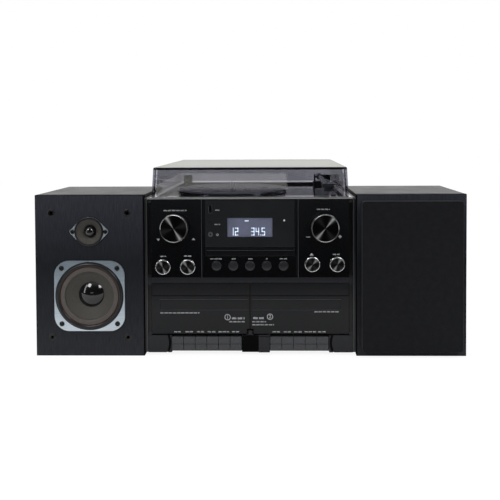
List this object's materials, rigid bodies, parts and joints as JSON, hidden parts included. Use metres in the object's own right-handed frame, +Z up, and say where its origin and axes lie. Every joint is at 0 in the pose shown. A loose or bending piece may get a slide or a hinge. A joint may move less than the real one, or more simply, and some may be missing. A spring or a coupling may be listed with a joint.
{
  "type": "stereo music centre",
  "caption": "Compact stereo with a record deck under a smoked cover, disc drawer, twin cassette doors, knobs, display and two box speakers, one with its grille off.",
  "frame": {"origin": "on the floor, at the middle of the overall width and of the overall depth from the knobs' faces to the rear screws", "axes": "+X to the right seen from the front, +Y to the back, +Z up"},
  "size_m": [0.694, 0.3476, 0.3043],
  "materials": {
    "cabinet_vinyl": "black vinyl on chipboard",
    "baffle_vinyl": "dark blue-grey vinyl on chipboard",
    "woofer_steel": "satin pressed steel",
    "cone_paper": "dark paper cone with rubber surround",
    "tweeter_metal": "satin metal flange",
    "speaker_trim": "black screws, sockets and clips",
    "grille_plastic": "black moulded frame",
    "grille_cloth": "black stretched cloth",
    "side_black": "semi-gloss black panels",
    "base_steel": "zinc plated sheet",
    "rear_black": "black painted sheet",
    "foot_rubber": "black rubber",
    "socket_black": "black sockets and clips",
    "frame_black": "black moulded frame",
    "panel_gloss": "piano black",
    "window_smoke": "smoked window",
    "circuit_green": "circuit board",
    "ring_chrome": "bright chrome",
    "plinth_black": "semi-gloss dark grey deck",
    "deck_metal": "satin light metal",
    "steel_plain": "plated steel mechanism",
    "iron_green": "transformer and boards",
    "knob_black": "black spun face with bright rim",
    "button_black": "black buttons",
    "drawer_black": "black drawer",
    "door_black": "gloss black doors",
    "platter_black": "black platter with rubber mat",
    "arm_metal": "satin tonearm",
    "arm_black": "dark arm base",
    "lever_metal": "bright lever",
    "cover_smoke": "clear smoked cover"
  },
  "bodies": {
    "main_unit": {"side_panels": "side_black", "base_plate": "base_steel", "feet": "foot_rubber", "rear_cover": "rear_black", "rear_fittings": "socket_black", "front_frame": "frame_black", "front_panel": "panel_gloss", "display_window": "window_smoke", "display_board": "circuit_green", "button_rings": "ring_chrome", "deck_plinth": "plinth_black", "deck_fittings": "deck_metal", "tape_transports": "steel_plain", "electronics": "iron_green", "cd_mechanism": "steel_plain", "turntable_motor": "steel_plain"},
    "left_speaker": {"left_cabinet": "cabinet_vinyl", "left_baffle": "baffle_vinyl", "left_woofer_frame": "woofer_steel", "left_woofer_cone": "cone_paper", "left_tweeter": "tweeter_metal", "left_fittings": "speaker_trim"},
    "right_speaker": {"right_cabinet": "cabinet_vinyl", "right_baffle": "baffle_vinyl", "right_woofer": "woofer_steel", "right_tweeter": "tweeter_metal", "right_fittings": "speaker_trim"},
    "grille": {"grille_frame": "grille_plastic", "grille_cloth": "grille_cloth"},
    "tuning_knob": {"tuning_knob": "knob_black"},
    "volume_knob": {"volume_knob": "knob_black"},
    "source_button": {"source_button": "button_black"},
    "mode_button": {"mode_button": "button_black"},
    "eject_button": {"eject_button": "button_black"},
    "power_button": {"power_button": "button_black"},
    "cd_button_1": {"cd_button_1": "button_black"},
    "cd_button_2": {"cd_button_2": "button_black"},
    "cd_button_3": {"cd_button_3": "button_black"},
    "cd_button_4": {"cd_button_4": "button_black"},
    "cd_button_5": {"cd_button_5": "button_black"},
    "cd_drawer": {"cd_drawer": "drawer_black"},
    "left_deck_door": {"left_deck_door": "door_black"},
    "right_deck_door": {"right_deck_door": "door_black"},
    "platter": {"platter": "platter_black"},
    "arm_gimbal": {"arm_gimbal": "arm_black"},
    "tonearm": {"tonearm": "arm_metal"},
    "cue_lever": {"cue_lever": "lever_metal"},
    "speed_switch": {"speed_switch": "lever_metal"},
    "dust_cover": {"dust_cover": "cover_smoke"},
    "key_left_1": {"key_left_1": "button_black"},
    "key_left_2": {"key_left_2": "button_black"},
    "key_left_3": {"key_left_3": "button_black"},
    "key_left_4": {"key_left_4": "button_black"},
    "key_left_5": {"key_left_5": "button_black"},
    "key_left_6": {"key_left_6": "button_black"},
    "key_right_1": {"key_right_1": "button_black"},
    "key_right_2": {"key_right_2": "button_black"},
    "key_right_3": {"key_right_3": "button_black"},
    "key_right_4": {"key_right_4": "button_black"},
    "key_right_5": {"key_right_5": "button_black"}
  },
  "joints": [
    {"name": "arm_swing", "type": "hinge", "parent": "main_unit", "child": "arm_gimbal", "pos_m": [0.128, 0.07717, 0.273], "axis": [0, 0, -1], "range_deg": [0, 50]},
    {"name": "arm_lift", "type": "hinge", "parent": "arm_gimbal", "child": "tonearm", "pos_m": [0.128, 0.07717, 0.273], "axis": [-1, 0, 0], "range_deg": [0, 3]},
    {"name": "cue_lever_turn", "type": "hinge", "parent": "main_unit", "child": "cue_lever", "pos_m": [0.1435, 0.05817, 0.26], "axis": [-1, 0, 0], "range_deg": [0, 60]},
    {"name": "cd_drawer_slide", "type": "slide", "parent": "main_unit", "child": "cd_drawer", "axis": [0, -1, 0], "range_m": [0, 0.13]},
    {"name": "cover_hinge", "type": "hinge", "parent": "main_unit", "child": "dust_cover", "pos_m": [0, 0.16567, 0.266], "axis": [-1, 0, 0], "range_deg": [0, 60]},
    {"name": "deck_door_left_hinge", "type": "hinge", "parent": "main_unit", "child": "left_deck_door", "pos_m": [-0.08013, -0.15332, 0.038], "axis": [1, 0, 0], "range_deg": [0, 25]},
    {"name": "deck_door_right_hinge", "type": "hinge", "parent": "main_unit", "child": "right_deck_door", "pos_m": [0.08013, -0.15332, 0.038], "axis": [1, 0, 0], "range_deg": [0, 25]},
    {"name": "grille_pull", "type": "slide", "parent": "right_speaker", "child": "grille", "axis": [0, -1, 0], "range_m": [0, 0.03]},
    {"name": "key_left_1_press", "type": "hinge", "parent": "main_unit", "child": "key_left_1", "pos_m": [-0.11768, -0.11282, 0.0264], "axis": [1, 0, 0], "range_deg": [0, 5], "stiffness_Nm_per_rad": 0.5, "springref_deg": -5.73},
    {"name": "key_left_2_press", "type": "hinge", "parent": "main_unit", "child": "key_left_2", "pos_m": [-0.09882, -0.11282, 0.0264], "axis": [1, 0, 0], "range_deg": [0, 5], "stiffness_Nm_per_rad": 0.5, "springref_deg": -5.73},
    {"name": "key_left_3_press", "type": "hinge", "parent": "main_unit", "child": "key_left_3", "pos_m": [-0.07998, -0.11282, 0.0264], "axis": [1, 0, 0], "range_deg": [0, 5], "stiffness_Nm_per_rad": 0.5, "springref_deg": -5.73},
    {"name": "key_left_4_press", "type": "hinge", "parent": "main_unit", "child": "key_left_4", "pos_m": [-0.06112, -0.11282, 0.0264], "axis": [1, 0, 0], "range_deg": [0, 5], "stiffness_Nm_per_rad": 0.5, "springref_deg": -5.73},
    {"name": "key_left_5_press", "type": "hinge", "parent": "main_unit", "child": "key_left_5", "pos_m": [-0.04228, -0.11282, 0.0264], "axis": [1, 0, 0], "range_deg": [0, 5], "stiffness_Nm_per_rad": 0.5, "springref_deg": -5.73},
    {"name": "key_left_6_press", "type": "hinge", "parent": "main_unit", "child": "key_left_6", "pos_m": [-0.02343, -0.11282, 0.0264], "axis": [1, 0, 0], "range_deg": [0, 5], "stiffness_Nm_per_rad": 0.5, "springref_deg": -5.73},
    {"name": "key_right_1_press", "type": "hinge", "parent": "main_unit", "child": "key_right_1", "pos_m": [0.04142, -0.11282, 0.0264], "axis": [1, 0, 0], "range_deg": [0, 5], "stiffness_Nm_per_rad": 0.5, "springref_deg": -5.73},
    {"name": "key_right_2_press", "type": "hinge", "parent": "main_unit", "child": "key_right_2", "pos_m": [0.06028, -0.11282, 0.0264], "axis": [1, 0, 0], "range_deg": [0, 5], "stiffness_Nm_per_rad": 0.5, "springref_deg": -5.73},
    {"name": "key_right_3_press", "type": "hinge", "parent": "main_unit", "child": "key_right_3", "pos_m": [0.07913, -0.11282, 0.0264], "axis": [1, 0, 0], "range_deg": [0, 5], "stiffness_Nm_per_rad": 0.5, "springref_deg": -5.73},
    {"name": "key_right_4_press", "type": "hinge", "parent": "main_unit", "child": "key_right_4", "pos_m": [0.09798, -0.11282, 0.0264], "axis": [1, 0, 0], "range_deg": [0, 5], "stiffness_Nm_per_rad": 0.5, "springref_deg": -5.73},
    {"name": "key_right_5_press", "type": "hinge", "parent": "main_unit", "child": "key_right_5", "pos_m": [0.11682, -0.11282, 0.0264], "axis": [1, 0, 0], "range_deg": [0, 5], "stiffness_Nm_per_rad": 0.5, "springref_deg": -5.73},
    {"name": "knob_tuning_turn", "type": "hinge", "parent": "main_unit", "child": "tuning_knob", "pos_m": [-0.1205, -0.15782, 0.2082], "axis": [0, 1, 0], "continuous": true},
    {"name": "knob_volume_turn", "type": "hinge", "parent": "main_unit", "child": "volume_knob", "pos_m": [0.1205, -0.15782, 0.2082], "axis": [0, 1, 0], "continuous": true},
    {"name": "platter_spin", "type": "hinge", "parent": "main_unit", "child": "platter", "pos_m": [-0.04, -0.00683, 0.251], "axis": [0, 0, -1], "continuous": true},
    {"name": "push_source_button", "type": "slide", "parent": "main_unit", "child": "source_button", "axis": [0, 1, 0], "range_m": [0, 0.0015], "stiffness_N_per_m": 400, "springref_m": -0.002},
    {"name": "push_mode_button", "type": "slide", "parent": "main_unit", "child": "mode_button", "axis": [0, 1, 0], "range_m": [0, 0.0015], "stiffness_N_per_m": 400, "springref_m": -0.002},
    {"name": "push_eject_button", "type": "slide", "parent": "main_unit", "child": "eject_button", "axis": [0, 1, 0], "range_m": [0, 0.0015], "stiffness_N_per_m": 400, "springref_m": -0.002},
    {"name": "push_power_button", "type": "slide", "parent": "main_unit", "child": "power_button", "axis": [0, 1, 0], "range_m": [0, 0.0015], "stiffness_N_per_m": 400, "springref_m": -0.002},
    {"name": "push_cd_button_1", "type": "slide", "parent": "main_unit", "child": "cd_button_1", "axis": [0, 1, 0], "range_m": [0, 0.001], "stiffness_N_per_m": 400, "springref_m": -0.002},
    {"name": "push_cd_button_2", "type": "slide", "parent": "main_unit", "child": "cd_button_2", "axis": [0, 1, 0], "range_m": [0, 0.001], "stiffness_N_per_m": 400, "springref_m": -0.002},
    {"name": "push_cd_button_3", "type": "slide", "parent": "main_unit", "child": "cd_button_3", "axis": [0, 1, 0], "range_m": [0, 0.001], "stiffness_N_per_m": 400, "springref_m": -0.002},
    {"name": "push_cd_button_4", "type": "slide", "parent": "main_unit", "child": "cd_button_4", "axis": [0, 1, 0], "range_m": [0, 0.001], "stiffness_N_per_m": 400, "springref_m": -0.002},
    {"name": "push_cd_button_5", "type": "slide", "parent": "main_unit", "child": "cd_button_5", "axis": [0, 1, 0], "range_m": [0, 0.001], "stiffness_N_per_m": 400, "springref_m": -0.002},
    {"name": "speaker_left_slide", "type": "slide", "parent": "main_unit", "child": "left_speaker", "axis": [-1, 0, 0], "range_m": [0, 0.04]},
    {"name": "speaker_right_slide", "type": "slide", "parent": "main_unit", "child": "right_speaker", "axis": [1, 0, 0], "range_m": [0, 0.04]},
    {"name": "speed_switch_slide", "type": "slide", "parent": "main_unit", "child": "speed_switch", "axis": [0, 1, 0], "range_m": [0, 0.01]}
  ],
  "couplings": [
    {"joint": "arm_lift", "follows": "cue_lever_turn", "ratio": 0.05}
  ]
}
